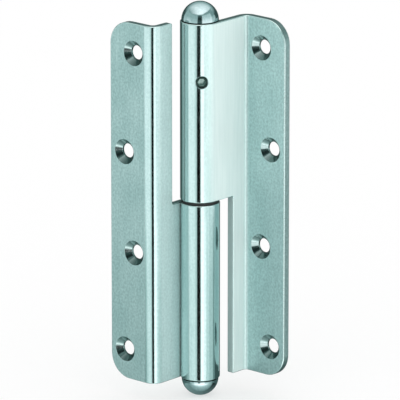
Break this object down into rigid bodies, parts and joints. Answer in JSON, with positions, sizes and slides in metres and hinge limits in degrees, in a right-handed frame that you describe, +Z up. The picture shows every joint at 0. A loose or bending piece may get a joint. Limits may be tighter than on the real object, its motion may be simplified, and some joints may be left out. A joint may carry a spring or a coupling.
{
  "type": "lift-off door hinge",
  "caption": "Cranked steel lift-off door hinge with rolled knuckles, right-angled screw flanges, domed end caps and a set screw that locks the pin.",
  "frame": {"origin": "on the pin axis at mid height, between the two knuckles", "axes": "+Z up the pin towards the door leaf's knuckle, +X from the pin towards the door leaf's flange, +Y towards the side the frame leaf's flange points to"},
  "size_m": [0.0416, 0.0536, 0.1548],
  "materials": {
    "plated_sheet": "satin zinc plate",
    "plated_cap": "satin zinc plate",
    "pin_steel": "ground",
    "screw_steel": "zinc plate",
    "washer_plastic": "matt"
  },
  "bodies": {
    "frame_side": {"frame_leaf": "plated_sheet", "lower_cap": "plated_cap"},
    "washer": {"thrust_washer": "washer_plastic"},
    "door_side": {"door_leaf": "plated_sheet", "hinge_pin": "pin_steel", "set_screw": "screw_steel", "upper_cap": "plated_cap"}
  },
  "joints": [
    {"name": "swing", "type": "hinge", "parent": "frame_side", "child": "washer", "pos_m": [0, 0, 0], "axis": [0, 0, 1], "range_deg": [-160, 160]},
    {"name": "lift_off", "type": "slide", "parent": "washer", "child": "door_side", "axis": [0, 0, 1], "range_m": [0, 0.06]}
  ]
}
